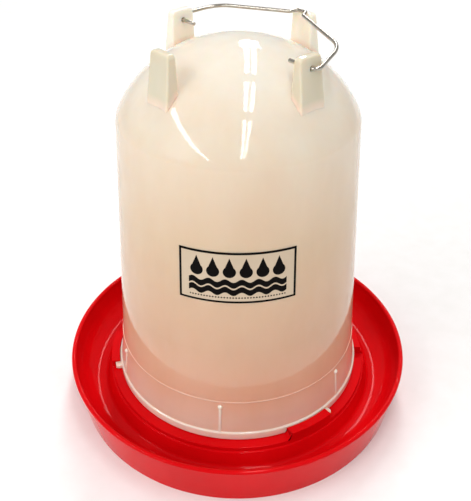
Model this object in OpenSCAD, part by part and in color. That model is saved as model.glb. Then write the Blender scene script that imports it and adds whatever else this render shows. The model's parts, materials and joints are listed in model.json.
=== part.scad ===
// Poultry waterer fount: a translucent tank that twists into a drinking tray.
// Origin on the tank's axis at the surface the tray stands on, +Z up, front at -Y.

/* [Tray] */
// Outer diameter over the rolled rim
tray_d = 350; // [300:1:420]
// Height of the rim's top above the ground
tray_h = 47.5; // [42:0.5:60]
// Outer diameter of the foot
foot_d = 335; // [290:1:350]
// Wall thickness of the tray
tray_wall = 2.4; // [1.8:0.1:3.2]
// Radius of the rolled rim
rim_roll = 2.4; // [1.6:0.1:3.5]
// Height of the trough's floor
trough_z = 10.5; // [7:0.5:16]
// Radius where the trough's floor turns up into its outer wall
trough_fillet = 24; // [14:1:26]
// Height of the ledge that the tank stands on
ledge_z = 30; // [26:0.5:34]
// Width of the ledge inside the tank
ledge_in = 9; // [6:0.5:14]
// Drop from the ledge to the centre floor
centre_drop = 8; // [5:0.5:10]
// Width of the water channel across the ledge
channel_w = 16.5; // [10:0.5:24]
// Depth of the water channel below the ledge
channel_d = 9; // [5:0.5:10]
// Direction of the water channel
channel_turn = -3; // [-20:1:15]

/* [Tank] */
// Outer diameter over the bead at the open mouth
mouth_d = 250.6; // [220:0.2:270]
// Height of the bead round the mouth
bead_h = 8.5; // [6:0.5:12]
// How far the bead stands out from the skirt
bead_proud = 1.8; // [1:0.1:3]
// Height of the skirt from the mouth to the ring
skirt_h = 44.5; // [30:0.5:60]
// Diameter of the wall at the ring
ring_d = 238; // [210:1:245]
// Height of the tapered wall from the ring to the shoulder
wall_h = 231; // [150:1:280]
// Diameter at the shoulder
shoulder_d = 209; // [195:1:225]
// Height of the dome above the shoulder
dome_h = 64; // [50:1:80]
// Wall thickness of the tank
tank_wall = 2.4; // [1.8:0.1:3.5]

/* [Twist lock] */
// Number of lugs round the mouth
lug_count = 3; // [2:1:4]
// How far a lug stands out from the bead
lug_out = 5.8; // [4:0.2:6.5]
// Height of a lug
lug_h = 4.2; // [3:0.2:6]
// Thickness of the outer wall of a cam
cam_wall = 2.5; // [1.6:0.1:4]
// Angle that a lug covers
lug_angle = 21; // [14:1:26]
// Direction of the first lug's leading end
lug_turn = -45; // [-60:1:-30]
// Angle of the lug's tip that stays in view when locked
lug_view = 2.5; // [1:0.5:5]
// Turn from locked to free
twist_free = 22; // [18:1:26]

/* [Legs] */
// Height of the legs' tops above the dome's top
leg_over = 7.2; // [6:0.2:16]
// Radius of a leg's inner face at its top
leg_in_r = 72; // [66:0.5:76]
// Thickness of a leg at its top
leg_t = 7; // [5:0.5:10]
// Width of a leg at its top
leg_w = 22; // [16:1:28]
// Slope of a leg's outer face
leg_slope = 8; // [4:0.5:12]
// Slope of a leg's sides
leg_side_slope = 3; // [0:0.5:6]
// Direction of the front right leg
leg_turn = -48; // [-60:1:-30]

/* [Bail] */
// Diameter of the bail's wire
wire_d = 3.2; // [2.6:0.1:4]
// Play of the wire in the holes that it swings in
bail_play = 1; // [0.6:0.1:2]
// Depth of the holes below the legs' tops
bail_drop = 9; // [8:0.5:18]
// Length of wire past each leg's inner face
bail_tail = 15; // [6:0.5:20]
// Length of a bail arm from the holes to its corner
bail_arm = 40; // [30:1:60]
// How far each arm leans in at its corner
bail_lean = 14; // [4:0.5:16]
// How far the hanging notch reaches past the legs' inner faces
bail_lap = 0.5; // [0:0.25:2]
// Width of the hanging notch
notch_w = 16; // [12:1:24]
// Height of the hanging notch
notch_h = 6.5; // [4:0.5:9]

/* [Label] */
// Width of the label round the wall
label_w = 98.5; // [60:0.5:130]
// Height of the label
label_h = 49; // [30:1:80]
// Height of the label's lower edge above the ring
label_up = 112.5; // [60:0.5:160]
// Thickness of the label
label_t = 0.4; // [0.2:0.1:0.8]

/* [Hidden] */
$fn = 96;
eps = 0.01;
over = 1;
round_steps = 6;
fit = 0.3;
full_turn = 360;
quarter = 90;
front = -90;

// Tray
foot_r = foot_d / 2;
rim_z = tray_h - rim_roll;
rim_r = tray_d / 2 - rim_roll;
rim_lap = 0.8;
flare = rim_r + rim_roll - rim_lap - foot_r;
flare_angle = atan2(flare, rim_z);
wall_x = tray_wall / cos(flare_angle);
mouth_r = mouth_d / 2;
cam_gap = 0.7;
ledge_out = lug_out + cam_gap + cam_wall;
ledge_r = mouth_r + ledge_out;
ledge_bore = mouth_r - ledge_in;
lip_drop = 5;
lip_w = 1.6;
trough_slope = 5;
centre_z = ledge_z - centre_drop;
centre_crown = 3;
fillet_steps = 9;
under_steps = 6;

// Tank
tank_z = ledge_z + fit;
bead_round = 1.4;
bead_arc = 60;
bead_steps = 2;
skirt_r = mouth_r - bead_proud;
ring_z = tank_z + skirt_h;
ring_r = ring_d / 2;
ring_proud = 0.7;
ring_band = 1.2;
shoulder_z = ring_z + wall_h;
shoulder_r = shoulder_d / 2;
dome_top = shoulder_z + dome_h;
dome_round = 0.91;
dome_rise = 1.49;
dome_steps = 18;
rib_count = 6;
rib_turn = -97.5;
rib_w = 2.6;
rib_proud = 0.8;
rib_ball = 2.4;
rib_end = 6;

// Twist lock
lug_r = mouth_r + lug_out;
lug_lift = 0.4;
cam_roof = 2.4;
cam_roof_z = tank_z + lug_lift + lug_h + cam_gap;
cam_stop = 2;
cam_free = 1;
lug_back = lug_turn - lug_angle;
cam_start = lug_back - cam_free - cam_stop;
cam_angle = lug_turn - lug_view - cam_start;

// Legs
leg_top = dome_top + leg_over;
leg_root_z = shoulder_z;
leg_round = 3;
leg_corner = 6;
leg_len = leg_top - leg_root_z;
leg_foot_out = leg_in_r + leg_t + leg_len * tan(leg_slope);
leg_foot_w = leg_w / 2 + leg_len * tan(leg_side_slope);

// Bail
wire_r = wire_d / 2;
bail_hole_d = wire_d + bail_play;
pivot_z = leg_top - bail_drop;
bend_in = 5;
lean_angle = atan2(bail_lean, bail_arm);
// An arm leans in, so it starts far enough out to clear the leg's outer face as it swings past
leg_face_r = leg_in_r + leg_t + bail_drop * tan(leg_slope);
leg_half_w = leg_w / 2 + bail_drop * tan(leg_side_slope);
bail_side = leg_face_r + fit + leg_half_w * tan(lean_angle) + wire_r / cos(lean_angle);
pin_end = bail_side - bend_in * tan((quarter + lean_angle) / 2);
bend_arm = 28;
bend_notch = 2.4;
bend_step = 12;
wire_sides = 16;
wire_thin = 0.02;
notch_slope = 3;
tail_r = leg_in_r - bail_tail;
bail_peak = leg_in_r + bail_lap;
bail_reach = bail_peak - notch_h;
// The notch lies on the rounded top of the rear right leg: the angle where they meet
rest_x = leg_in_r + leg_round;
rest_z = bail_drop - leg_round;
rest_reach = norm([rest_x, rest_z]);
rest_gap = leg_round + wire_r + fit;
bail_rest = atan2(rest_z, rest_x)
    + acos((pow(bail_peak, 2) + pow(rest_reach, 2) - pow(rest_gap, 2)) / (2 * bail_peak * rest_reach));

// Points on an arc about a centre, from one angle to another
function arc(centre, r, from, to, steps) =
    [for (i = [0:steps]) let (a = from + (to - from) * i / steps) centre + r * [cos(a), sin(a)]];

// Outer radius of the tray's foot wall at a height
function tray_out(z) = foot_r + flare * z / rim_z;

// Radius of the tank's wall at a height between the ring and the shoulder
function wall_r(z) = ring_r + (shoulder_r - ring_r) * (z - ring_z) / wall_h;

// Outline of the dome from the shoulder to the top, set in by t
function dome(t) = [for (i = [0:dome_steps]) let (a = quarter * i / dome_steps)
    [(shoulder_r - t) * pow(max(cos(a), 0), dome_round), shoulder_z + (dome_h - t) * pow(sin(a), dome_rise)]];

// A ring sector about the Z axis, from one direction over an angle
module sector(from, angle) {
    rotate([0, 0, from])
        rotate_extrude(angle = angle)
            children();
}

// Places its children at n equal steps round the axis
module around(n) {
    for (i = [0:n - 1])
        rotate([0, 0, i * full_turn / n])
            children();
}

// ---- Tray ----

module tray_profile() {
    fillet_z = trough_z + trough_fillet;
    fillet_c = [tray_out(fillet_z) - wall_x - trough_fillet / cos(flare_angle), fillet_z];
    slope_r = ledge_r + lip_w + trough_slope;
    // The underside bends up until it meets the foot wall's inner face
    under_end = -flare_angle - acos(trough_fillet / (trough_fillet + tray_wall));
    under = arc(fillet_c, trough_fillet + tray_wall, -quarter, under_end, under_steps);
    inside = arc(fillet_c, trough_fillet, -flare_angle, -quarter, fillet_steps);
    polygon(concat(
        [[0, centre_z + centre_crown - tray_wall], [ledge_bore + tray_wall, centre_z - tray_wall],
         [ledge_bore + tray_wall, ledge_z - tray_wall], [ledge_r - tray_wall, ledge_z - tray_wall],
         [ledge_r - tray_wall, ledge_z - lip_drop - tray_wall],
         [ledge_r + lip_w - tray_wall, ledge_z - lip_drop - tray_wall],
         [slope_r - tray_wall, trough_z - tray_wall]],
        under,
        [[foot_r - wall_x, 0], [foot_r, 0], [tray_out(rim_z), rim_z], [tray_out(rim_z) - wall_x, rim_z]],
        inside,
        [[slope_r, trough_z], [ledge_r + lip_w, ledge_z - lip_drop], [ledge_r, ledge_z - lip_drop],
         [ledge_r, ledge_z], [ledge_bore, ledge_z], [ledge_bore, centre_z],
         [0, centre_z + centre_crown]]));
}

module rim_profile() {
    translate([rim_r, rim_z])
        circle(r = rim_roll);
}

// The channel's own floor and side walls hang under the ledge
module channel_block(w, z0, z1) {
    length = ledge_out + ledge_in + 2 * tray_wall + lip_w;
    rotate([0, 0, channel_turn])
        translate([ledge_bore - tray_wall, -w / 2, z0])
            cube([length, w, z1 - z0]);
}

module tray() {
    color("crimson")
        difference() {
            union() {
                rotate_extrude()
                    tray_profile();
                rotate_extrude()
                    rim_profile();
                intersection() {
                    channel_block(channel_w + 2 * tray_wall, ledge_z - channel_d - tray_wall, ledge_z - eps);
                    cylinder(r = ledge_r, h = ledge_z);
                }
            }
            channel_block(channel_w, ledge_z - channel_d, ledge_z + over);
        }
}

// Hooked blocks on the ledge that the tank's lugs turn under
module tray_cams() {
    color("crimson")
        around(lug_count) {
            sector(cam_start, cam_angle)
                polygon([[ledge_r - cam_wall, ledge_z], [ledge_r, ledge_z],
                    [ledge_r, cam_roof_z + cam_roof], [mouth_r + cam_gap, cam_roof_z + cam_roof],
                    [mouth_r + cam_gap, cam_roof_z], [ledge_r - cam_wall, cam_roof_z]]);
            sector(cam_start, cam_stop)
                polygon([[mouth_r + cam_gap, ledge_z], [ledge_r - cam_wall, ledge_z],
                    [ledge_r - cam_wall, cam_roof_z], [mouth_r + cam_gap, cam_roof_z]]);
        }
}

// ---- Tank ----

module tank_outline() {
    polygon(concat(
        [[0, tank_z], [mouth_r - bead_round, tank_z]],
        arc([mouth_r - bead_round, tank_z + bead_round], bead_round, -bead_arc, 0, bead_steps),
        arc([mouth_r - bead_round, tank_z + bead_h - bead_round], bead_round, 0, bead_arc, bead_steps),
        [[skirt_r, tank_z + bead_h], [ring_r, ring_z - ring_band], [ring_r + ring_proud, ring_z - ring_band / 2],
         [ring_r + ring_proud, ring_z + ring_band / 2], [wall_r(ring_z + ring_band), ring_z + ring_band]],
        dome(0)));
}

module tank_inside() {
    polygon(concat(
        [[0, tank_z - over], [skirt_r - tank_wall, tank_z - over], [skirt_r - tank_wall, tank_z + bead_h],
         [ring_r - tank_wall, ring_z]],
        dome(tank_wall)));
}

// Thin upright rib with a ball at its top, on the skirt
module skirt_rib() {
    foot = tank_z + bead_h;
    top = ring_z - rib_end;
    lean = atan2(skirt_r - ring_r, ring_z - foot);
    rotate([0, 0, rib_turn])
        translate([skirt_r, 0, foot])
            rotate([0, -lean, 0]) {
                translate([-rib_proud, -rib_w / 2, 0])
                    cube([2 * rib_proud, rib_w, top - foot]);
                translate([0, 0, top - foot])
                    sphere(r = rib_ball);
            }
}

module tank() {
    color("antiquewhite", 0.85)
        difference() {
            union() {
                rotate_extrude()
                    tank_outline();
                around(rib_count)
                    skirt_rib();
            }
            rotate_extrude()
                tank_inside();
        }
}

// Lugs that stand out from the bead and turn under the cams
module tank_lugs() {
    color("antiquewhite")
        around(lug_count)
            difference() {
                sector(lug_back, lug_angle)
                    translate([mouth_r - bead_round, tank_z + lug_lift])
                        square([lug_r - mouth_r + bead_round, lug_h]);
                rotate_extrude()
                    tank_outline();
            }
}

// ---- Legs ----

module leg_side() {
    inner = leg_in_r;
    outer = leg_in_r + leg_t;
    polygon(concat(
        [[inner, leg_root_z], [leg_foot_out, leg_root_z]],
        arc([outer - leg_round, leg_top - leg_round], leg_round, leg_slope, quarter, round_steps),
        arc([inner + leg_round, leg_top - leg_round], leg_round, quarter, 2 * quarter, round_steps)));
}

module leg_face() {
    half = leg_w / 2;
    polygon(concat(
        [[-leg_foot_w, leg_root_z], [leg_foot_w, leg_root_z]],
        arc([half - leg_corner, leg_top - leg_corner], leg_corner, leg_side_slope, quarter, round_steps),
        arc([leg_corner - half, leg_top - leg_corner], leg_corner, quarter, 2 * quarter - leg_side_slope,
            round_steps)));
}

// A leg stands out along +X; the tank stands on the four of them when it is filled
module leg(turn, drilled) {
    reach = leg_foot_out - leg_in_r + 2 * over;
    color("ivory")
        rotate([0, 0, turn])
            difference() {
                intersection() {
                    rotate([quarter, 0, 0])
                        linear_extrude(2 * leg_foot_w + 2 * over, center = true)
                            leg_side();
                    translate([leg_in_r - over, 0, 0])
                        rotate([quarter, 0, quarter])
                            linear_extrude(reach)
                                leg_face();
                }
                rotate_extrude()
                    tank_outline();
                if (drilled)
                    translate([leg_in_r - over, 0, pivot_z])
                        rotate([0, quarter, 0])
                            cylinder(d = bail_hole_d, h = reach);
            }
}

module front_right_leg() { leg(leg_turn, true); }
module rear_right_leg() { leg(leg_turn + quarter, false); }
module rear_left_leg() { leg(leg_turn + 2 * quarter, true); }
module front_left_leg() { leg(leg_turn + 3 * quarter, false); }

// ---- Bail ----

function unit(v) = v / norm(v);
function heading(v) = atan2(v[1], v[0]);
function signed(a) = a > full_turn / 2 ? a - full_turn : a < -full_turn / 2 ? a + full_turn : a;
function side_of(v) = [-v[1], v[0]];

// Points of a bend of radius r at corner b, between the straights from a and to c
function bend(a, b, c, r) =
    let (into = unit(b - a), turn = signed(heading(c - b) - heading(into)), hand = sign(turn),
        start = b - into * r * tan(abs(turn) / 2), centre = start + side_of(into) * r * hand,
        from = heading(start - centre), steps = max(2, ceil(abs(turn) / bend_step)))
    arc(centre, r, from, from + turn, steps);

// Direction of the wire at point i of a route
function along(p, i) = unit(p[min(i + 1, len(p) - 1)] - p[max(i - 1, 0)]);

// Round wire along a route in the XY plane
module swept_wire(p, d) {
    n = len(p);
    rings = [for (i = [0:n - 1]) let (out = i == 0 || i == n - 1 ? [0, 1] : side_of(along(p, i)))
            for (k = [0:wire_sides - 1]) let (a = full_turn * k / wire_sides)
            [p[i][0] + d / 2 * cos(a) * out[0], p[i][1] + d / 2 * cos(a) * out[1], d / 2 * sin(a)]];
    polyhedron(rings, concat(
        [[for (k = [0:wire_sides - 1]) k]],
        [for (i = [0:n - 2]) for (k = [0:wire_sides - 1]) let (m = (k + 1) % wire_sides, a = i * wire_sides)
            [a + k, a + wire_sides + k, a + wire_sides + m, a + m]],
        [[for (k = [wire_sides - 1:-1:0]) (n - 1) * wire_sides + k]]));
}

// Drawn with the pivot line along X, swung up from flat to where it rests
module bail() {
    corners = [[bail_side, 0], [bail_side - bail_lean, bail_arm],
        [notch_w / 2, bail_reach], [notch_w / 2 - notch_slope, bail_peak]];
    bends = [bend_in, bend_arm, bend_notch, bend_notch];
    tail = [tail_r, 0];
    last = len(corners) - 1;
    mirrored = [-corners[last][0], corners[last][1]];
    half = [for (i = [0:last])
        each bend(i == 0 ? tail : corners[i - 1], corners[i], i == last ? mirrored : corners[i + 1], bends[i])];
    route = concat(half, [for (i = [len(half) - 1:-1:0]) [-half[i][0], half[i][1]]]);
    color("silver")
        translate([0, 0, pivot_z])
            rotate([0, 0, leg_turn])
                rotate([bail_rest, 0, 0]) {
                    swept_wire(route, wire_d - wire_thin);
                    for (hand = [-1, 1])
                        bail_pin(hand);
                }
}

// Straight end of the wire, through the leg's hole
module bail_pin(hand) {
    rotate([0, hand * quarter, 0])
        translate([0, 0, tail_r])
            cylinder(d = wire_d, h = pin_end - tail_r);
}

// ---- Label ----

module label() {
    z0 = ring_z + label_up;
    z1 = z0 + label_h;
    angle = label_w / wall_r((z0 + z1) / 2) * full_turn / (2 * PI);
    color("white")
        sector(front - angle / 2, angle)
            polygon([[wall_r(z0), z0], [wall_r(z0) + label_t, z0],
                [wall_r(z1) + label_t, z1], [wall_r(z1), z1]]);
}

tray();
tray_cams();
tank();
tank_lugs();
front_right_leg();
rear_right_leg();
rear_left_leg();
front_left_leg();
bail();
label();
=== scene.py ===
import bpy
import json
import math
from mathutils import Matrix, Vector


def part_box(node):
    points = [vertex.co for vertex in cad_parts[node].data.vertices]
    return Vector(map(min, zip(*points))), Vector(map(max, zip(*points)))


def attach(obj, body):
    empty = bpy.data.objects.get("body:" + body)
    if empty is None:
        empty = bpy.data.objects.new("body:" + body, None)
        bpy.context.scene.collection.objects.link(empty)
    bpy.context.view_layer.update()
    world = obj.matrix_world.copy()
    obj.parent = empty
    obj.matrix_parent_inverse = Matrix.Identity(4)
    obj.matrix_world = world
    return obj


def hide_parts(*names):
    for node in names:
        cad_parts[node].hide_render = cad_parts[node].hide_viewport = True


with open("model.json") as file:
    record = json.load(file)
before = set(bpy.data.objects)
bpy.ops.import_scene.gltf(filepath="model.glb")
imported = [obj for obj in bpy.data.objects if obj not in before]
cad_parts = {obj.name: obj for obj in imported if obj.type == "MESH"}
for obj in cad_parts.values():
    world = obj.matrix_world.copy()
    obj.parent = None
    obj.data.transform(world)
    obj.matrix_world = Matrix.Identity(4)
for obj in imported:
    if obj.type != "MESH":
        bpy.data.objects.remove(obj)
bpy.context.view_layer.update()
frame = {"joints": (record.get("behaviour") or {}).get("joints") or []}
print("frame loaded")

# Measures that every piece shares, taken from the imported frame
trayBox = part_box("tray")
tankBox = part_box("tank")
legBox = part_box("front_right_leg")
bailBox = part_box("bail")
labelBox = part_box("label")
joints = {joint["name"]: joint for joint in frame["joints"]}
pivot = Vector(joints["bail_swing"]["pos_m"])
pivotAxis = Vector(joints["bail_swing"]["axis"])
pivotHeading = math.atan2(pivotAxis.y, pivotAxis.x)
tankFoot = tankBox[0].z
mouthRadius = tankBox[1].x


def mm(value):
    return value / 1000


fullTurn = 2 * math.pi
quarterTurn = math.pi / 2
spinSteps = 256
coarseSteps = 128
weldGap = mm(0.002)
finishGap = mm(0.001)
# how near a vertex has to be to count as one of those asked for
pickGap = mm(1)
pickAngle = math.radians(0.2)

# Modelling helpers


def clearSelection():
    if bpy.context.mode != "OBJECT":
        bpy.ops.object.mode_set(mode="OBJECT")
    bpy.ops.object.select_all(action="DESELECT")


def useOnly(obj):
    clearSelection()
    bpy.context.view_layer.objects.active = obj
    obj.select_set(True)


def editVerts(obj, test):
    # opens edit mode with only the vertices that pass the test selected
    useOnly(obj)
    for face in obj.data.polygons:
        face.select = False
    for edge in obj.data.edges:
        edge.select = False
    for vert in obj.data.vertices:
        vert.select = test(vert.co)
    bpy.ops.object.mode_set(mode="EDIT")
    bpy.ops.mesh.select_mode(type="VERT")


def roundedPath(corners, stepAngle=math.radians(9)):
    # corners are (radius, height, rounding) in metres; a rounding of 0 keeps the corner sharp
    path = []
    for i, (x, z, rounding) in enumerate(corners):
        here = Vector((x, z))
        if rounding == 0:
            path.append(here)
            continue
        before = (Vector(corners[i - 1][:2]) - here).normalized()
        after = (Vector(corners[i + 1][:2]) - here).normalized()
        half = before.angle(after) / 2
        centre = here + (before + after).normalized() * rounding / math.sin(half)
        start = here + before * rounding / math.tan(half) - centre
        end = here + after * rounding / math.tan(half) - centre
        sweep = math.atan2(start.x * end.y - start.y * end.x, start.dot(end))
        steps = max(2, math.ceil(abs(sweep) / stepAngle))
        for k in range(steps + 1):
            turned = Matrix.Rotation(sweep * k / steps, 2) @ start
            path.append(centre + turned)
    return path


def arcPath(centre, radius, start, end, steps):
    return [Vector((centre[0] + radius * math.cos(start + (end - start) * k / steps),
                    centre[1] + radius * math.sin(start + (end - start) * k / steps)))
            for k in range(steps + 1)]


def drawOutline(name, path, heading=0.0, closed=False):
    # one vertex, extruded from point to point in the upright plane through the axis
    clearSelection()
    bpy.ops.mesh.primitive_plane_add(size=mm(1), location=(0, 0, 0))
    obj = bpy.context.object
    obj.name = name
    along = Vector((math.cos(heading), math.sin(heading), 0))
    points = [along * p[0] + Vector((0, 0, p[1])) for p in path]
    bpy.ops.object.mode_set(mode="EDIT")
    bpy.ops.mesh.select_all(action="SELECT")
    bpy.ops.mesh.merge(type="CENTER")
    bpy.ops.transform.translate(value=points[0])
    for last, point in zip(points, points[1:]):
        bpy.ops.mesh.extrude_region_move(TRANSFORM_OT_translate={"value": point - last})
    bpy.ops.mesh.select_all(action="SELECT")
    if closed:
        bpy.ops.mesh.edge_face_add()
    return obj


def spinOn(steps, angle, centre=(0, 0, 0)):
    # the spin tool counts its angle clockwise about the axis it is given
    bpy.ops.mesh.spin(steps=steps, angle=-angle, center=centre, axis=(0, 0, 1))


def closeMesh():
    # welds the mesh in edit mode, turns its faces outwards and leaves edit mode
    bpy.ops.mesh.select_all(action="SELECT")
    bpy.ops.mesh.remove_doubles(threshold=weldGap)
    bpy.ops.mesh.normals_make_consistent(inside=False)
    bpy.ops.object.mode_set(mode="OBJECT")


def lathe(name, path, steps=spinSteps):
    obj = drawOutline(name, path)
    spinOn(steps, fullTurn)
    closeMesh()
    return obj


def sectorBlock(name, path, heading, angle, steps=24):
    obj = drawOutline(name, path, heading, closed=True)
    spinOn(steps, angle)
    closeMesh()
    return obj


def bakePlace(obj):
    # moves the object's place, turn and scale into its mesh
    useOnly(obj)
    bpy.ops.object.transform_apply(location=True, rotation=True, scale=True)


def roundEdges(obj, width, segments=3, limit=40):
    useOnly(obj)
    bevel = obj.modifiers.new("rounded edges", "BEVEL")
    bevel.width = width
    bevel.segments = segments
    bevel.limit_method = "ANGLE"
    bevel.angle_limit = math.radians(limit)
    bpy.ops.object.modifier_apply(modifier=bevel.name)


def combine(obj, other, operation):
    # joins or cuts with another solid, which is used up
    useOnly(obj)
    boolean = obj.modifiers.new("combine", "BOOLEAN")
    boolean.operation = operation
    boolean.solver = "MANIFOLD"
    boolean.object = other
    bpy.ops.object.modifier_apply(modifier=boolean.name)
    bpy.data.objects.remove(other)


def turnedCopy(obj, name, angle):
    clearSelection()
    twin = obj.copy()
    twin.data = obj.data.copy()
    twin.name = name
    bpy.context.scene.collection.objects.link(twin)
    twin.rotation_euler.z = angle
    bakePlace(twin)
    return twin


def around(obj, count):
    # the piece and its copies at equal steps round the axis, as one mesh
    twins = [turnedCopy(obj, obj.name, fullTurn * k / count) for k in range(1, count)]
    useOnly(obj)
    for twin in twins:
        twin.select_set(True)
    bpy.ops.object.join()
    return obj


def finishMesh(obj, angle=30):
    useOnly(obj)
    bpy.ops.object.mode_set(mode="EDIT")
    bpy.ops.mesh.select_all(action="SELECT")
    bpy.ops.mesh.remove_doubles(threshold=finishGap)
    bpy.ops.object.mode_set(mode="OBJECT")
    bpy.ops.object.shade_smooth_by_angle(angle=math.radians(angle))


# Material helpers


def srgb(hexCode):
    channels = [int(hexCode[i:i + 2], 16) / 255 for i in (0, 2, 4)]
    linear = [c / 12.92 if c <= 0.04045 else ((c + 0.055) / 1.055) ** 2.4 for c in channels]
    return (*linear, 1.0)


def newMaterial(name):
    material = bpy.data.materials.new(name)
    material.use_nodes = True
    tree = material.node_tree
    shader = tree.nodes["Principled BSDF"]
    return material, tree, shader


def addNode(tree, kind, inputs=(), **settings):
    node = tree.nodes.new(kind)
    for key, value in settings.items():
        setattr(node, key, value)
    for key, value in dict(inputs).items():
        if isinstance(value, bpy.types.NodeSocket):
            tree.links.new(value, node.inputs[key])
        else:
            node.inputs[key].default_value = value
    return node


def calc(tree, operation, *values, clamp=False):
    node = addNode(tree, "ShaderNodeMath", operation=operation, use_clamp=clamp)
    for i, value in enumerate(values):
        if isinstance(value, bpy.types.NodeSocket):
            tree.links.new(value, node.inputs[i])
        else:
            node.inputs[i].default_value = value
    return node.outputs[0]


def objectPlace(tree):
    return addNode(tree, "ShaderNodeTexCoord").outputs["Object"]


def splitPlace(tree):
    return addNode(tree, "ShaderNodeSeparateXYZ", {"Vector": objectPlace(tree)}).outputs


def noise(tree, cell, detail=3.0, roughness=0.5, stretch=(1, 1, 1)):
    # noise in the piece's own space; a cell is its real size in metres
    mapped = addNode(tree, "ShaderNodeMapping", {"Vector": objectPlace(tree), "Scale": stretch})
    return addNode(tree, "ShaderNodeTexNoise", {"Vector": mapped.outputs[0], "Scale": 1 / cell,
                                                "Detail": detail, "Roughness": roughness}).outputs["Fac"]


def squares(tree, a, b):
    return calc(tree, "ADD", calc(tree, "MULTIPLY", a, a), calc(tree, "MULTIPLY", b, b))


def within(tree, value, limit):
    return calc(tree, "LESS_THAN", calc(tree, "ABSOLUTE", value), limit)


def repeated(tree, value, pitch):
    # distance from the middle of the cell that the value falls in
    share = calc(tree, "FRACT", calc(tree, "DIVIDE", value, pitch))
    return calc(tree, "MULTIPLY", calc(tree, "SUBTRACT", share, 0.5), pitch)


def blend(tree, factor, low, high):
    # low and high are colours; the factor is a socket
    mix = addNode(tree, "ShaderNodeMix", data_type="RGBA")
    tree.links.new(factor, mix.inputs["Factor"])
    for socket, value in ((mix.inputs[6], low), (mix.inputs[7], high)):
        if isinstance(value, bpy.types.NodeSocket):
            tree.links.new(value, socket)
        else:
            socket.default_value = value
    return mix.outputs[2]


def spread(tree, value, low, high, toLow=0.0, toHigh=1.0):
    return addNode(tree, "ShaderNodeMapRange", {"Value": value, "From Min": low, "From Max": high,
                                                "To Min": toLow, "To Max": toHigh}).outputs[0]


def bumped(tree, shader, height, distance, strength=1.0):
    bump = addNode(tree, "ShaderNodeBump", {"Height": height, "Distance": distance, "Strength": strength})
    tree.links.new(bump.outputs[0], shader.inputs["Normal"])


def wear(material, obj):
    obj.data.materials.clear()
    obj.data.materials.append(material)


# Tray moulding

tray = {
    "wall": mm(2.4),
    "rimRoll": mm(2.4),
    "rimLap": mm(0.8),
    "footRadius": mm(167.5),
    "troughFloor": mm(10.5),
    "troughFillet": mm(24),
    "ledge": mm(30),
    "ledgeOut": mm(9),
    "ledgeIn": mm(9),
    "lipDrop": mm(5),
    "lipWidth": mm(1.6),
    "slopeWidth": mm(5),
    "centreFloor": mm(22),
    "centreCrown": mm(3),
    "edgeRound": mm(0.7),
    "boreRound": mm(1.5),
    "lipRound": mm(0.5),
    "slopeRound": mm(4),
    "floorEnd": mm(2),
    "filletSteps": 24,
    "underSteps": 16,
    "rollSteps": 30,
    "channelWidth": mm(16.5),
    "channelDepth": mm(9),
    "channelHeading": math.radians(-3),
    "cutHeight": mm(20),
    "joinGap": mm(0.05),
    "limitGap": mm(0.02),
    "limitHeight": mm(60),
}
ledgeRadius = mouthRadius + tray["ledgeOut"]
ledgeBore = mouthRadius - tray["ledgeIn"]


def trayPath():
    rimZ = trayBox[1].z - tray["rimRoll"]
    rimR = trayBox[1].x - tray["rimRoll"]
    flare = rimR + tray["rimRoll"] - tray["rimLap"] - tray["footRadius"]
    flareAngle = math.atan2(flare, rimZ)
    wallX = tray["wall"] / math.cos(flareAngle)
    filletZ = tray["troughFloor"] + tray["troughFillet"]
    filletR = (tray["footRadius"] + flare * filletZ / rimZ - wallX
               - tray["troughFillet"] / math.cos(flareAngle))
    centre = (filletR, filletZ)
    slopeR = ledgeRadius + tray["lipWidth"] + tray["slopeWidth"]
    wall = tray["wall"]
    edge = tray["edgeRound"]
    top = tray["ledge"]
    lip = top - tray["lipDrop"]
    floor = tray["troughFloor"]
    middle = tray["centreFloor"]
    upper = roundedPath([
        (0, middle + tray["centreCrown"], 0), (ledgeBore, middle, tray["boreRound"]),
        (ledgeBore, top, edge), (ledgeRadius, top, edge), (ledgeRadius, lip, tray["lipRound"]),
        (ledgeRadius + tray["lipWidth"], lip, edge), (slopeR, floor, tray["slopeRound"]),
        (filletR - tray["floorEnd"], floor, 0)])
    inside = arcPath(centre, tray["troughFillet"], -quarterTurn, -flareAngle, tray["filletSteps"])
    bite = math.acos((tray["rimRoll"] - tray["rimLap"]) / tray["rimRoll"])
    rollStart = fullTurn - math.acos((tray["rimRoll"] - tray["rimLap"] - wallX) / tray["rimRoll"])
    roll = arcPath((rimR, rimZ), tray["rimRoll"], rollStart, -bite, tray["rollSteps"])
    underEnd = -flareAngle - math.acos(tray["troughFillet"] / (tray["troughFillet"] + wall))
    under = arcPath(centre, tray["troughFillet"] + wall, underEnd, -quarterTurn, tray["underSteps"])
    foot = tray["footRadius"]
    lower = roundedPath([
        (foot, 0, 0), (foot - wallX, 0, 0)]) + under + roundedPath([
            (slopeR - wall, floor - wall, 0), (ledgeRadius + tray["lipWidth"] - wall, lip - wall, 0),
            (ledgeRadius - wall, lip - wall, 0), (ledgeRadius - wall, top - wall, 0),
            (ledgeBore + wall, top - wall, 0), (ledgeBore + wall, middle - wall, 0),
            (0, middle + tray["centreCrown"] - wall, 0)])
    return upper + inside + roll + lower


def channelBlock(name, width, low, high):
    # a straight block across the ledge, from its bore to its edge
    clearSelection()
    inner = ledgeBore - tray["wall"]
    outer = ledgeRadius + tray["wall"] + tray["lipWidth"]
    bpy.ops.mesh.primitive_cube_add(size=1, location=((inner + outer) / 2, 0, (low + high) / 2),
                                    scale=(outer - inner, width, high - low))
    block = bpy.context.object
    block.name = name
    bpy.ops.object.transform_apply(location=True, rotation=False, scale=True)
    block.rotation_euler.z = tray["channelHeading"]
    bpy.ops.object.transform_apply(location=False, rotation=True, scale=False)
    return block


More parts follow.
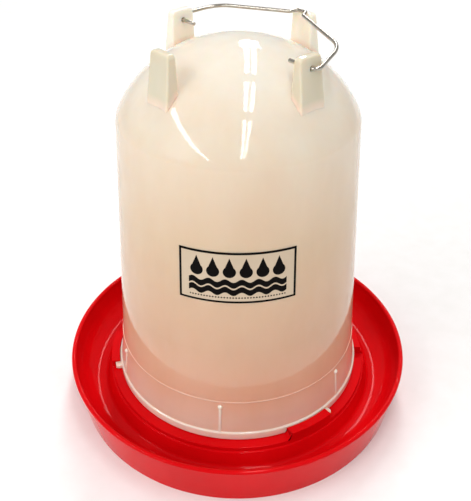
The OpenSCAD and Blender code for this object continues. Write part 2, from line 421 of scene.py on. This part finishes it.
cam = {
    "count": 3,
    "start": math.radians(-69),
    "angle": math.radians(21.5),
    "stop": math.radians(2),
    "wall": mm(2.5),
    "roof": mm(2.4),
    "roofUnder": mm(35.6),
    "gap": mm(0.7),
    "sink": mm(0.5),
    "lap": mm(0.4),
    "slant": mm(4.5),
    "edgeRound": mm(0.5),
    "levelGap": mm(0.05),
}


def slantEnd(block, low, top):
    # the blind end leans back towards its top
    heading = cam["start"]
    back = Vector((-math.sin(heading), math.cos(heading), 0)) * cam["slant"]
    levels = sorted({round(vert.co.z, 5) for vert in block.data.vertices})
    for level in levels:
        editVerts(block, lambda co: abs(co.z - level) < cam["levelGap"]
                  and abs(math.atan2(co.y, co.x) - heading) < pickAngle)
        bpy.ops.transform.translate(value=back * (level - low) / (top - low))
    bpy.ops.object.mode_set(mode="OBJECT")


def makeCam():
    inner = mouthRadius + cam["gap"]
    wallIn = ledgeRadius - cam["wall"]
    low = tray["ledge"] - cam["sink"]
    under = cam["roofUnder"]
    top = under + cam["roof"]
    hook = [(wallIn, low), (ledgeRadius, low), (ledgeRadius, top),
            (inner, top), (inner, under), (wallIn, under)]
    block = sectorBlock("cam", hook, cam["start"], cam["angle"])
    # the stop laps into the wall and the roof, and closes the hook's blind end
    stopOut = wallIn + cam["lap"]
    stopTop = under + cam["lap"]
    stop = sectorBlock("camStop", [(inner, low), (stopOut, low), (stopOut, stopTop), (inner, stopTop)],
                       cam["start"], cam["stop"] * 2, steps=4)
    slantEnd(block, low, top)
    slantEnd(stop, low, top)
    combine(block, stop, "UNION")
    roundEdges(block, cam["edgeRound"], segments=2)
    return around(block, cam["count"])


def makeTray():
    body = lathe("trayMoulding", trayPath())
    floor = tray["ledge"] - tray["channelDepth"]
    wallBox = channelBlock("channelWall", tray["channelWidth"] + 2 * tray["wall"], floor - tray["wall"],
                           tray["ledge"] - tray["joinGap"])
    limit = ledgeRadius - tray["limitGap"]
    keep = lathe("ledgeLimit", [(0, 0), (limit, 0), (limit, tray["limitHeight"]), (0, tray["limitHeight"])],
                 coarseSteps)
    combine(wallBox, keep, "INTERSECT")
    combine(body, wallBox, "UNION")
    combine(body, channelBlock("channelCut", tray["channelWidth"], floor, tray["ledge"] + tray["cutHeight"]),
            "DIFFERENCE")
    combine(body, makeCam(), "UNION")
    finishMesh(body)
    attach(body, "base")
    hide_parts("tray", "tray_cams")
    return body


trayMoulding = makeTray()
print("tray modelled", len(trayMoulding.data.polygons))

# Tank moulding

tank = {
    "wall": mm(2.4),
    "beadHeight": mm(8.5),
    "beadProud": mm(1.8),
    "beadRound": mm(1.4),
    "skirt": mm(44.5),
    "ringRadius": mm(119),
    "ringProud": mm(0.5),
    "ringBand": mm(1.2),
    "ringRound": mm(0.35),
    "ringFoot": mm(0.3),
    "footRound": mm(0.6),
    "stepRound": mm(1),
    "courses": 24,
    "shoulder": mm(305.8),
    "shoulderRadius": mm(104.5),
    "domeRound": 0.91,
    "domeRise": 1.49,
    "coreDepth": mm(40),
}
ringZ = tankFoot + tank["skirt"]
domeHeight = tankBox[1].z - tank["shoulder"]


def domePath(inset, steps=48):
    # from the shoulder to the axis
    path = []
    for k in range(steps + 1):
        angle = quarterTurn * k / steps
        r = (tank["shoulderRadius"] - inset) * max(math.cos(angle), 0) ** tank["domeRound"]
        z = tank["shoulder"] + (domeHeight - inset) * math.sin(angle) ** tank["domeRise"]
        path.append(Vector((r if k < steps else 0, z)))
    return path


def wallRadius(z):
    share = (z - ringZ) / (tank["shoulder"] - ringZ)
    return tank["ringRadius"] + (tank["shoulderRadius"] - tank["ringRadius"]) * share


def tankPath():
    skirtR = mouthRadius - tank["beadProud"]
    beadTop = tankFoot + tank["beadHeight"]
    band = tank["ringBand"]
    ring = tank["ringRadius"]
    proud = tank["ringProud"]
    wall = tank["wall"]
    step = tank["stepRound"]
    ringRound = tank["ringRound"]
    ringLow = wallRadius(ringZ - band) + mm(0.05)
    outer = roundedPath([
        (skirtR - wall, beadTop, 0), (skirtR - wall, tankFoot, tank["footRound"]),
        (mouthRadius, tankFoot, tank["beadRound"]), (mouthRadius, beadTop, tank["beadRound"]),
        (skirtR, beadTop + step, step), (ringLow, ringZ - band, tank["ringFoot"]),
        (ring + proud, ringZ - band / 3, ringRound), (ring + proud, ringZ + band / 3, ringRound),
        (wallRadius(ringZ + band), ringZ + band, 0)])
    courses = tank["courses"]
    rise = (tank["shoulder"] - ringZ - band) / courses
    outerLevels = [ringZ + band + rise * k for k in range(1, courses)]
    innerLevels = [ringZ + rise * k for k in range(courses)]
    straight = [Vector((wallRadius(z), z)) for z in outerLevels]
    inside = [Vector((wallRadius(z) - wall, z)) for z in innerLevels]
    inner = inside + domePath(wall)
    return list(reversed(inner)) + outer + straight + domePath(0)


leg = {
    "innerFace": mm(72),
    "thick": mm(7),
    "width": mm(22),
    "slope": math.radians(8),
    "sideSlope": math.radians(3),
    "cornerRound": mm(3.4),
    "edgeRound": mm(1.5),
    "holeWidth": mm(4.2),
    "drillLength": mm(60),
}


def legCore():
    # fills the dome up to the middle of its wall, to cut the legs' feet with
    top = domePath(tank["wall"] / 2)
    low = tank["shoulder"] - tank["coreDepth"]
    return lathe("legCore", [Vector((0, low)), Vector((top[0].x, low))] + top, coarseSteps)


def makeLeg(name, heading, drilled):
    clearSelection()
    top = legBox[1].z
    root = tank["shoulder"]
    height = top - root
    outer = leg["innerFace"] + leg["thick"] + height * math.tan(leg["slope"])
    foot = leg["width"] + 2 * height * math.tan(leg["sideSlope"])
    middle = (leg["innerFace"] + outer) / 2
    bpy.ops.mesh.primitive_cube_add(size=1, location=(middle, 0, (top + root) / 2),
                                    scale=(outer - leg["innerFace"], foot, height))
    post = bpy.context.object
    post.name = name
    bpy.ops.object.transform_apply(location=True, rotation=False, scale=True)
    editVerts(post, lambda co: co.z > top - pickGap and co.x > middle)
    bpy.ops.transform.translate(value=(-height * math.tan(leg["slope"]), 0, 0))
    editVerts(post, lambda co: co.z > top - pickGap)
    bpy.ops.transform.resize(value=(1, leg["width"] / foot, 1), center_override=(0, 0, 0))
    # the face's two top corners get their large round first
    for side in (-1, 1):
        editVerts(post, lambda co: co.z > top - pickGap and co.y * side > leg["width"] / 2 - pickGap)
        bpy.ops.mesh.bevel(offset=leg["cornerRound"], offset_type="OFFSET", segments=8, affect="EDGES")
    bpy.ops.object.mode_set(mode="OBJECT")
    roundEdges(post, leg["edgeRound"], segments=5, limit=35)
    if drilled:
        bpy.ops.mesh.primitive_cylinder_add(vertices=40, radius=leg["holeWidth"] / 2,
                                            depth=leg["drillLength"], rotation=(0, quarterTurn, 0),
                                            location=(middle, 0, pivot.z))
        drill = bpy.context.object
        bakePlace(drill)
        combine(post, drill, "DIFFERENCE")
    post.rotation_euler.z = heading
    bakePlace(post)
    combine(post, legCore(), "DIFFERENCE")
    return post


rib = {
    "count": 6,
    "heading": math.radians(-97.5),
    "width": mm(2.6),
    "proud": mm(0.9),
    "ball": mm(2.4),
    "end": mm(6),
    "sink": mm(0.5),
    "edgeRound": mm(0.45),
}


def makeRibs():
    clearSelection()
    low = tankFoot + tank["beadHeight"] - rib["sink"]
    high = ringZ - rib["end"]
    skirtR = mouthRadius - tank["beadProud"]
    lean = (skirtR - tank["ringRadius"]) / (ringZ - low)
    lowR = skirtR - lean * rib["sink"]
    bpy.ops.mesh.primitive_cube_add(size=1, location=(lowR, 0, (low + high) / 2),
                                    scale=(2 * rib["proud"], rib["width"], high - low))
    blade = bpy.context.object
    blade.name = "rib"
    bpy.ops.object.transform_apply(location=True, rotation=False, scale=True)
    editVerts(blade, lambda co: co.z > (low + high) / 2)
    bpy.ops.transform.translate(value=(-lean * (high - low), 0, 0))
    bpy.ops.object.mode_set(mode="OBJECT")
    roundEdges(blade, rib["edgeRound"])
    bpy.ops.mesh.primitive_uv_sphere_add(segments=24, ring_count=14, radius=rib["ball"],
                                         location=(lowR - lean * (high - low), 0, high))
    ball = bpy.context.object
    bakePlace(ball)
    combine(blade, ball, "UNION")
    blade.rotation_euler.z = rib["heading"]
    bakePlace(blade)
    return around(blade, rib["count"])


lug = {
    "count": 3,
    "start": math.radians(-66),
    "angle": math.radians(21),
    "out": mm(5.8),
    "lift": mm(0.4),
    "height": mm(4.2),
    "noseRound": mm(3.8),
    "root": mm(2),
    "edgeRound": mm(0.5),
}


def makeLugs():
    low = tankFoot + lug["lift"]
    high = low + lug["height"]
    root = mouthRadius - lug["root"]
    tip = mouthRadius + lug["out"]
    block = sectorBlock("lug", [(root, low), (tip, low), (tip, high), (root, high)],
                        lug["start"], lug["angle"])
    # the leading end's outer corner is a round nose
    lead = lug["start"] + lug["angle"]
    editVerts(block, lambda co: abs(math.atan2(co.y, co.x) - lead) < pickAngle
              and co.to_2d().length > tip - pickGap)
    bpy.ops.mesh.bevel(offset=lug["noseRound"], offset_type="OFFSET", segments=8, affect="EDGES")
    bpy.ops.object.mode_set(mode="OBJECT")
    roundEdges(block, lug["edgeRound"])
    return around(block, lug["count"])


def makeTank():
    legs = ("front_right_leg", "rear_right_leg", "rear_left_leg", "front_left_leg")
    body = lathe("tankMoulding", tankPath())
    for k, name in enumerate(legs):
        combine(body, makeLeg(name + "Solid", pivotHeading + k * quarterTurn, k % 2 == 0), "UNION")
    combine(body, makeRibs(), "UNION")
    combine(body, makeLugs(), "UNION")
    finishMesh(body, 28)
    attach(body, "fount")
    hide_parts("tank", "tank_lugs", *legs)
    return body


tankMoulding = makeTank()
print("tank modelled", len(tankMoulding.data.polygons))

# Wire bail

bail = {
    "wire": mm(3.2),
    "sides": 24,
    "tail": mm(57),
    "arm": mm(40),
    "lean": mm(14),
    "lap": mm(0.5),
    "notchWidth": mm(16),
    "notchHeight": mm(6.5),
    "notchSlope": mm(3),
    "bendIn": mm(5),
    "bendArm": mm(28),
    "bendNotch": mm(2.4),
    "bendStep": math.radians(7),
    "fit": mm(0.3),
    "endRound": mm(0.25),
}


def makeBail():
    wireR = bail["wire"] / 2
    leanAngle = math.atan2(bail["lean"], bail["arm"])
    drop = legBox[1].z - pivot.z
    legFace = leg["innerFace"] + leg["thick"] + drop * math.tan(leg["slope"])
    legHalf = leg["width"] / 2 + drop * math.tan(leg["sideSlope"])
    side = legFace + bail["fit"] + legHalf * math.tan(leanAngle) + wireR / math.cos(leanAngle)
    peak = leg["innerFace"] + bail["lap"]
    foot = bail["notchWidth"] / 2
    right = [(bail["tail"], 0), (side, 0), (side - bail["lean"], bail["arm"]),
             (foot, peak - bail["notchHeight"]), (foot - bail["notchSlope"], peak)]
    bends = [bail["bendIn"], bail["bendArm"], bail["bendNotch"], bail["bendNotch"]]
    corners = [Vector((x, y, 0)) for x, y in right] + [Vector((-x, y, 0)) for x, y in reversed(right)]
    radii = bends + list(reversed(bends))
    clearSelection()
    bpy.ops.mesh.primitive_circle_add(vertices=bail["sides"], radius=wireR, fill_type="NGON",
                                      rotation=(0, quarterTurn, 0), location=corners[0])
    wire = bpy.context.object
    wire.name = "bailWire"
    bakePlace(wire)
    bpy.ops.object.mode_set(mode="EDIT")
    bpy.ops.mesh.select_all(action="SELECT")
    here = corners[0]
    for corner, onward, radius in zip(corners[1:], corners[2:], radii):
        into = (corner - here).normalized()
        out = (onward - corner).normalized()
        turn = math.atan2(into.x * out.y - into.y * out.x, into.dot(out))
        reach = radius * math.tan(abs(turn) / 2)
        start = corner - into * reach
        bpy.ops.mesh.extrude_region_move(TRANSFORM_OT_translate={"value": start - here})
        hand = math.copysign(1, turn)
        centre = start + Vector((-into.y, into.x, 0)) * radius * hand
        steps = max(3, math.ceil(abs(turn) / bail["bendStep"]))
        spinOn(steps, turn, centre)
        here = corner + out * reach
    bpy.ops.mesh.extrude_region_move(TRANSFORM_OT_translate={"value": corners[-1] - here})
    closeMesh()
    roundEdges(wire, bail["endRound"], segments=2, limit=60)
    rest = math.asin((bailBox[1].z - wireR - pivot.z) / peak)
    wire.matrix_world = (Matrix.Translation(pivot) @ Matrix.Rotation(pivotHeading, 4, "Z")
                         @ Matrix.Rotation(rest, 4, "X"))
    bakePlace(wire)
    finishMesh(wire, 40)
    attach(wire, "bail")
    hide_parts("bail")
    return wire


bailWire = makeBail()
print("bail modelled", len(bailWire.data.polygons))

# Printed label

label = {
    "width": mm(98.5),
    "lift": mm(0.04),
    "thick": mm(0.22),
}


def makeLabel():
    low = labelBox[0].z
    high = labelBox[1].z
    angle = label["width"] / wallRadius((low + high) / 2)
    start = -quarterTurn - angle / 2
    lowR = wallRadius(low) + label["lift"]
    highR = wallRadius(high) + label["lift"]
    thick = label["thick"]
    section = [(lowR, low), (lowR + thick, low), (highR + thick, high), (highR, high)]
    sheet = sectorBlock("labelSheet", section, start, angle, steps=48)
    finishMesh(sheet, 40)
    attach(sheet, "fount")
    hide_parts("label")
    return sheet


labelSheet = makeLabel()
print("label modelled")

# Materials


def trayPlastic():
    # injection-moulded polypropylene, red, satin with fine rub marks
    material, tree, shader = newMaterial("red_moulded_polypropylene")
    cloud = noise(tree, mm(71.4), 4, 0.6)
    grain = noise(tree, mm(1.11), 3, 0.55)
    colour = blend(tree, spread(tree, cloud, 0.35, 0.65), srgb("d0060d"), srgb("dc0810"))
    tree.links.new(colour, shader.inputs["Base Color"])
    rough = spread(tree, noise(tree, mm(22.2), 5, 0.65), 0.3, 0.7, 0.055, 0.1)
    tree.links.new(rough, shader.inputs["Roughness"])
    shader.inputs["IOR"].default_value = 1.49
    shader.inputs["Specular IOR Level"].default_value = 0.09
    bumped(tree, shader, grain, mm(0.02), 0.4)
    return material


def paintedGlowByHeight(tree, z):
    # painted light by height: a painted red glow from the tray on the skirt towards the wall's foot, painted
    # shade low on the wall, and painted light that grows paler towards the dome
    ramp = addNode(tree, "ShaderNodeValToRGB")
    stops = ((0.0, "f4cbb4"), (0.05, "f8cdb9"), (0.13, "e8b399"), (0.3, "dbb397"), (0.6, "e1c7ab"),
             (0.8, "f3dbc6"), (1.0, "fee8da"))
    share = spread(tree, z, tankFoot, tankBox[1].z)
    tree.links.new(share, ramp.inputs[0])
    points = ramp.color_ramp.elements
    while len(points) < len(stops):
        points.new(0.5)
    for point, (place, code) in zip(points, stops):
        point.position = place
        point.color = srgb(code)
    return ramp.outputs[0]


def outsideDome(tree, xyz):
    # 0 on the dome, rising to 1 up the legs that stand out of it
    flat = calc(tree, "SQRT", squares(tree, xyz[0], xyz[1]))
    across = calc(tree, "POWER", calc(tree, "DIVIDE", flat, tank["shoulderRadius"]), 2 / tank["domeRound"])
    rise = calc(tree, "MAXIMUM", calc(tree, "SUBTRACT", xyz[2], tank["shoulder"]), 0.0)
    up = calc(tree, "POWER", calc(tree, "DIVIDE", rise, domeHeight), 2 / tank["domeRise"])
    out = spread(tree, calc(tree, "ADD", across, up), 1.01, 1.12)
    return calc(tree, "MULTIPLY", out, calc(tree, "GREATER_THAN", rise, mm(2)))


def proudOfSkirt(tree, xyz):
    # 1 on the bead, lugs, ribs and ring, which stand out from the skirt, where the plastic is thick
    flat = calc(tree, "SQRT", squares(tree, xyz[0], xyz[1]))
    skirt = spread(tree, xyz[2], tankFoot + tank["beadHeight"], ringZ, mouthRadius - tank["beadProud"],
                   tank["ringRadius"])
    out = spread(tree, calc(tree, "SUBTRACT", flat, skirt), mm(0.15), mm(0.45))
    # the ring is thin, so it shows less
    level = spread(tree, xyz[2], ringZ - mm(3), ringZ - mm(2), 1.0, 0.35)
    below = calc(tree, "LESS_THAN", xyz[2], ringZ + mm(1))
    return calc(tree, "MULTIPLY", calc(tree, "MULTIPLY", out, level), below)


def tankPlastic():
    # blow-moulded natural polyethylene, translucent, with a faint cloud of uneven wall
    material, tree, shader = newMaterial("natural_translucent_polyethylene")
    xyz = splitPlace(tree)
    cloud = spread(tree, noise(tree, mm(62.5), 4, 0.6, (1, 1, 0.35)), 0.35, 0.68)
    # the wall's colour by height is painted glow from the tray, painted shade and painted light
    paintedGlowTint = paintedGlowByHeight(tree, xyz[2])
    clouded = addNode(tree, "ShaderNodeMix", data_type="RGBA", blend_type="MULTIPLY")
    tree.links.new(cloud, clouded.inputs["Factor"])
    tree.links.new(paintedGlowTint, clouded.inputs[6])
    clouded.inputs[7].default_value = srgb("f9f5f0")
    # the legs are solid and have a tint of their own; the front pair is painted darker as painted shade and
    # the rear pair paler as painted light
    frontLegPaintedShade = blend(tree, cloud, srgb("d9d0b7"), srgb("dfd7c2"))
    rearLegPaintedLight = blend(tree, cloud, srgb("faf1e0"), srgb("fcf6ea"))
    # the blend from front to back paints light and shade onto the legs
    thick = blend(tree, spread(tree, xyz[1], mm(-20), mm(20)), frontLegPaintedShade, rearLegPaintedLight)
    upper = blend(tree, outsideDome(tree, xyz), clouded.outputs[2], thick)
    tree.links.new(blend(tree, proudOfSkirt(tree, xyz), upper, srgb("fbe3d3")), shader.inputs["Base Color"])
    shader.inputs["Subsurface Weight"].default_value = 1.0
    shader.inputs["Subsurface Radius"].default_value = (mm(4.5), mm(3.4), mm(2.6))
    shader.inputs["Subsurface Scale"].default_value = 1.0
    rough = spread(tree, noise(tree, mm(16.7), 4, 0.6), 0.3, 0.7, 0.035, 0.07)
    tree.links.new(rough, shader.inputs["Roughness"])
    shader.inputs["IOR"].default_value = 1.51
    shader.inputs["Specular IOR Level"].default_value = 0.42
    bumped(tree, shader, noise(tree, mm(9.09), 3, 0.5, (1, 1, 0.4)), mm(0.03), 0.3)
    return material


def galvanisedWire():
    # drawn steel wire with a bright zinc coat
    material, tree, shader = newMaterial("zinc_coated_steel_wire")
    spangle = noise(tree, mm(3.85), 4, 0.6)
    colour = blend(tree, spread(tree, spangle, 0.35, 0.65), srgb("b0a99e"), srgb("cbc4b9"))
    tree.links.new(colour, shader.inputs["Base Color"])
    shader.inputs["Metallic"].default_value = 1.0
    tree.links.new(spread(tree, spangle, 0.3, 0.7, 0.16, 0.26), shader.inputs["Roughness"])
    bumped(tree, shader, noise(tree, mm(0.667), 3, 0.5), mm(0.02), 0.4)
    return material


# The printed pattern, in millimetres from the label's middle and from its lower edge
motif = {
    "frame": 2.0,
    "cell": 13.6,
    "dropsEachSide": 3,
    "dropHeight": 30.5,
    "dropRadius": 5.4,
    "tipAbove": 13.4,
    "tipFrom": 1.65,
    "tipSlope": 0.385,
    "waveHeights": (19.2, 11.9),
    "waveHalf": 2.9,
    "waveSwing": 1.6,
    "dotPitch": 2.4,
    "dotHeight": 5.4,
    "dotRadius": 0.75,
    "dotReach": 40.0,
}


def frameInk(tree, u, v, halfWidth, tall):
    fromSide = calc(tree, "SUBTRACT", halfWidth, calc(tree, "ABSOLUTE", u))
    fromEnd = calc(tree, "MINIMUM", v, calc(tree, "SUBTRACT", tall, v))
    return calc(tree, "LESS_THAN", calc(tree, "MINIMUM", fromSide, fromEnd), motif["frame"])


def dropInk(tree, u, v):
    # a round foot with a pointed top, one to a cell
    dropU = repeated(tree, u, motif["cell"])
    dropV = calc(tree, "SUBTRACT", v, motif["dropHeight"])
    ball = calc(tree, "LESS_THAN", squares(tree, dropU, dropV), motif["dropRadius"] ** 2)
    below = calc(tree, "SUBTRACT", motif["tipAbove"], dropV)
    side = calc(tree, "SUBTRACT", calc(tree, "MULTIPLY", below, motif["tipSlope"]),
                calc(tree, "ABSOLUTE", dropU))
    point = calc(tree, "MULTIPLY", calc(tree, "GREATER_THAN", side, 0.0),
                 calc(tree, "GREATER_THAN", dropV, motif["tipFrom"]))
    inRow = within(tree, u, motif["cell"] * motif["dropsEachSide"])
    return calc(tree, "MULTIPLY", calc(tree, "MAXIMUM", ball, point), inRow)


def waveInk(tree, u, v):
    # two bands that rise and fall together, one wave to a drop
    wave = calc(tree, "SINE", calc(tree, "MULTIPLY", u, fullTurn / motif["cell"]))
    waveV = calc(tree, "SUBTRACT", v, calc(tree, "MULTIPLY", wave, motif["waveSwing"]))
    bands = [within(tree, calc(tree, "SUBTRACT", waveV, height), motif["waveHalf"])
             for height in motif["waveHeights"]]
    inRow = within(tree, u, motif["cell"] * motif["dropsEachSide"])
    return calc(tree, "MULTIPLY", calc(tree, "MAXIMUM", bands[0], bands[1]), inRow)


def dotInk(tree, u, v):
    dotU = repeated(tree, u, motif["dotPitch"])
    dotV = calc(tree, "SUBTRACT", v, motif["dotHeight"])
    dot = calc(tree, "LESS_THAN", squares(tree, dotU, dotV), motif["dotRadius"] ** 2)
    return calc(tree, "MULTIPLY", dot, within(tree, u, motif["dotReach"]))


def labelPrint():
    # black screen print on a clear film: a frame, a row of drops, two wave bands and a row of dots
    material, tree, shader = newMaterial("screen_printed_film")
    xyz = splitPlace(tree)
    low = labelBox[0].z
    high = labelBox[1].z
    turn = calc(tree, "ARCTAN2", xyz[0], calc(tree, "MULTIPLY", xyz[1], -1.0))
    u = calc(tree, "MULTIPLY", turn, wallRadius((low + high) / 2) / mm(1))
    v = calc(tree, "DIVIDE", calc(tree, "SUBTRACT", xyz[2], low), mm(1))
    pictures = calc(tree, "MAXIMUM", frameInk(tree, u, v, label["width"] / mm(2), (high - low) / mm(1)),
                    dropInk(tree, u, v))
    ink = calc(tree, "MAXIMUM", pictures, calc(tree, "MAXIMUM", waveInk(tree, u, v), dotInk(tree, u, v)))
    patchy = spread(tree, noise(tree, mm(1.43), 3, 0.6), 0.25, 0.75)
    inkColour = blend(tree, patchy, srgb("050303"), srgb("0e0a09"))
    film = blend(tree, spread(tree, noise(tree, mm(33.3), 3, 0.5), 0.3, 0.7), srgb("cdb9a0"), srgb("d3c0a8"))
    tree.links.new(blend(tree, ink, film, inkColour), shader.inputs["Base Color"])
    tree.links.new(spread(tree, ink, 0, 1, 0.3, 0.42), shader.inputs["Roughness"])
    shader.inputs["Specular IOR Level"].default_value = 0.05
    bumped(tree, shader, ink, mm(0.02), 0.5)
    return material


wear(trayPlastic(), trayMoulding)
wear(tankPlastic(), tankMoulding)
wear(galvanisedWire(), bailWire)
wear(labelPrint(), labelSheet)
print("materials done")

# Floor, light and camera

studio = {
    "floorSize": 12.0,
    "worldStrength": 0.45,
    # lamps hang one lift above the tank's top, and their other measures are in lifts
    "lift": 2.2,
    "glow": 14.8,
    "tubeWidth": 0.052,
    "tubes": {"Left": 0.089, "Right": 0.173},
    "runs": {"rear": (0.38, 1.5), "middle": (-0.31, 0.2), "front": (-1.9, -0.47)},
    "panelPlace": (0.135, 2.1),
    "panelSize": (0.25, 1.0),
    "sidePlace": (-1.08, -1.05),
    "sideSize": (0.1, 2.3),
    "sideShare": 0.9,
    # the soft fill light, in metres
    "fillPlace": (-2.2, -1.6, 1.6),
    "fillAim": (0, 0, 0.2),
    "fillSize": (1.6, 1.6),
    "fillGlow": 1.2,
}


def makeFloor():
    clearSelection()
    bpy.ops.mesh.primitive_plane_add(size=studio["floorSize"], location=(0, 0, 0))
    floor = bpy.context.object
    floor.name = "studioFloor"
    material, tree, shader = newMaterial("pale_studio_paper")
    fibre = spread(tree, noise(tree, mm(25), 4, 0.6), 0.3, 0.7)
    tree.links.new(blend(tree, fibre, srgb("f6f5f3"), srgb("faf9f8")), shader.inputs["Base Color"])
    shader.inputs["Roughness"].default_value = 0.9
    wear(material, floor)


def areaLight(name, place, aim, size, radiance, along=(0, 1, 0)):
    # a rectangle whose length lies near the given direction; its power follows from how bright it looks
    data = bpy.data.lights.new(name, "AREA")
    data.shape = "RECTANGLE"
    data.size, data.size_y = size
    data.energy = radiance * math.pi * size[0] * size[1]
    lamp = bpy.data.objects.new(name, data)
    bpy.context.scene.collection.objects.link(lamp)
    back = (Vector(place) - Vector(aim)).normalized()
    across = Vector(along).cross(back).normalized()
    turn = Matrix((across, back.cross(across), back)).transposed().to_4x4()
    lamp.matrix_world = Matrix.Translation(place) @ turn


def makeLights():
    # a row of twin-tube fittings overhead, running front to back, and a single tube off to the left
    lift = studio["lift"]
    glow = studio["glow"]
    top = tankBox[1].z + lift
    for run, (near, far) in studio["runs"].items():
        for side, x in studio["tubes"].items():
            middle = (x * lift, (near + far) / 2 * lift, top)
            areaLight(run + side, middle, middle[:2] + (0,),
                      (studio["tubeWidth"] * lift, (far - near) * lift), glow)
    panelX, panelY = studio["panelPlace"]
    panelW, panelL = studio["panelSize"]
    areaLight("rearPanel", (panelX * lift, panelY * lift, top), (panelX * lift, panelY * lift, 0),
              (panelW * lift, panelL * lift), glow)
    sideX, sideY = studio["sidePlace"]
    sideW, sideL = studio["sideSize"]
    areaLight("sideTube", (sideX * lift, sideY * lift, top), (0, sideY * lift, tankBox[1].z),
              (sideW * lift, sideL * lift), glow * studio["sideShare"])
    areaLight("softLeft", studio["fillPlace"], studio["fillAim"], studio["fillSize"],
              studio["fillGlow"], (0, 0, 1))


def makeWorld():
    world = bpy.data.worlds.new("paleStudio")
    world.use_nodes = True
    bpy.context.scene.world = world
    background = world.node_tree.nodes["Background"]
    background.inputs["Color"].default_value = (1, 1, 1, 1)
    background.inputs["Strength"].default_value = studio["worldStrength"]


camera = {
    "place": (0, -0.5485, 0.5556),
    "down": math.radians(35.78),
    "roll": math.radians(0.27),
    "lens": 49.58,
    "shiftX": -0.00475,
}


def makeCamera():
    data = bpy.data.cameras.new("camera")
    data.lens = camera["lens"]
    data.sensor_width = 36
    data.shift_x = camera["shiftX"]
    data.clip_start = 0.02
    eye = bpy.data.objects.new("camera", data)
    bpy.context.scene.collection.objects.link(eye)
    turn = Matrix.Rotation(quarterTurn - camera["down"], 4, "X") @ Matrix.Rotation(camera["roll"], 4, "Z")
    eye.matrix_world = Matrix.Translation(camera["place"]) @ turn
    bpy.context.scene.camera = eye


makeFloor()
makeLights()
makeWorld()
makeCamera()
bpy.context.scene.view_settings.view_transform = "Standard"
print("studio ready")
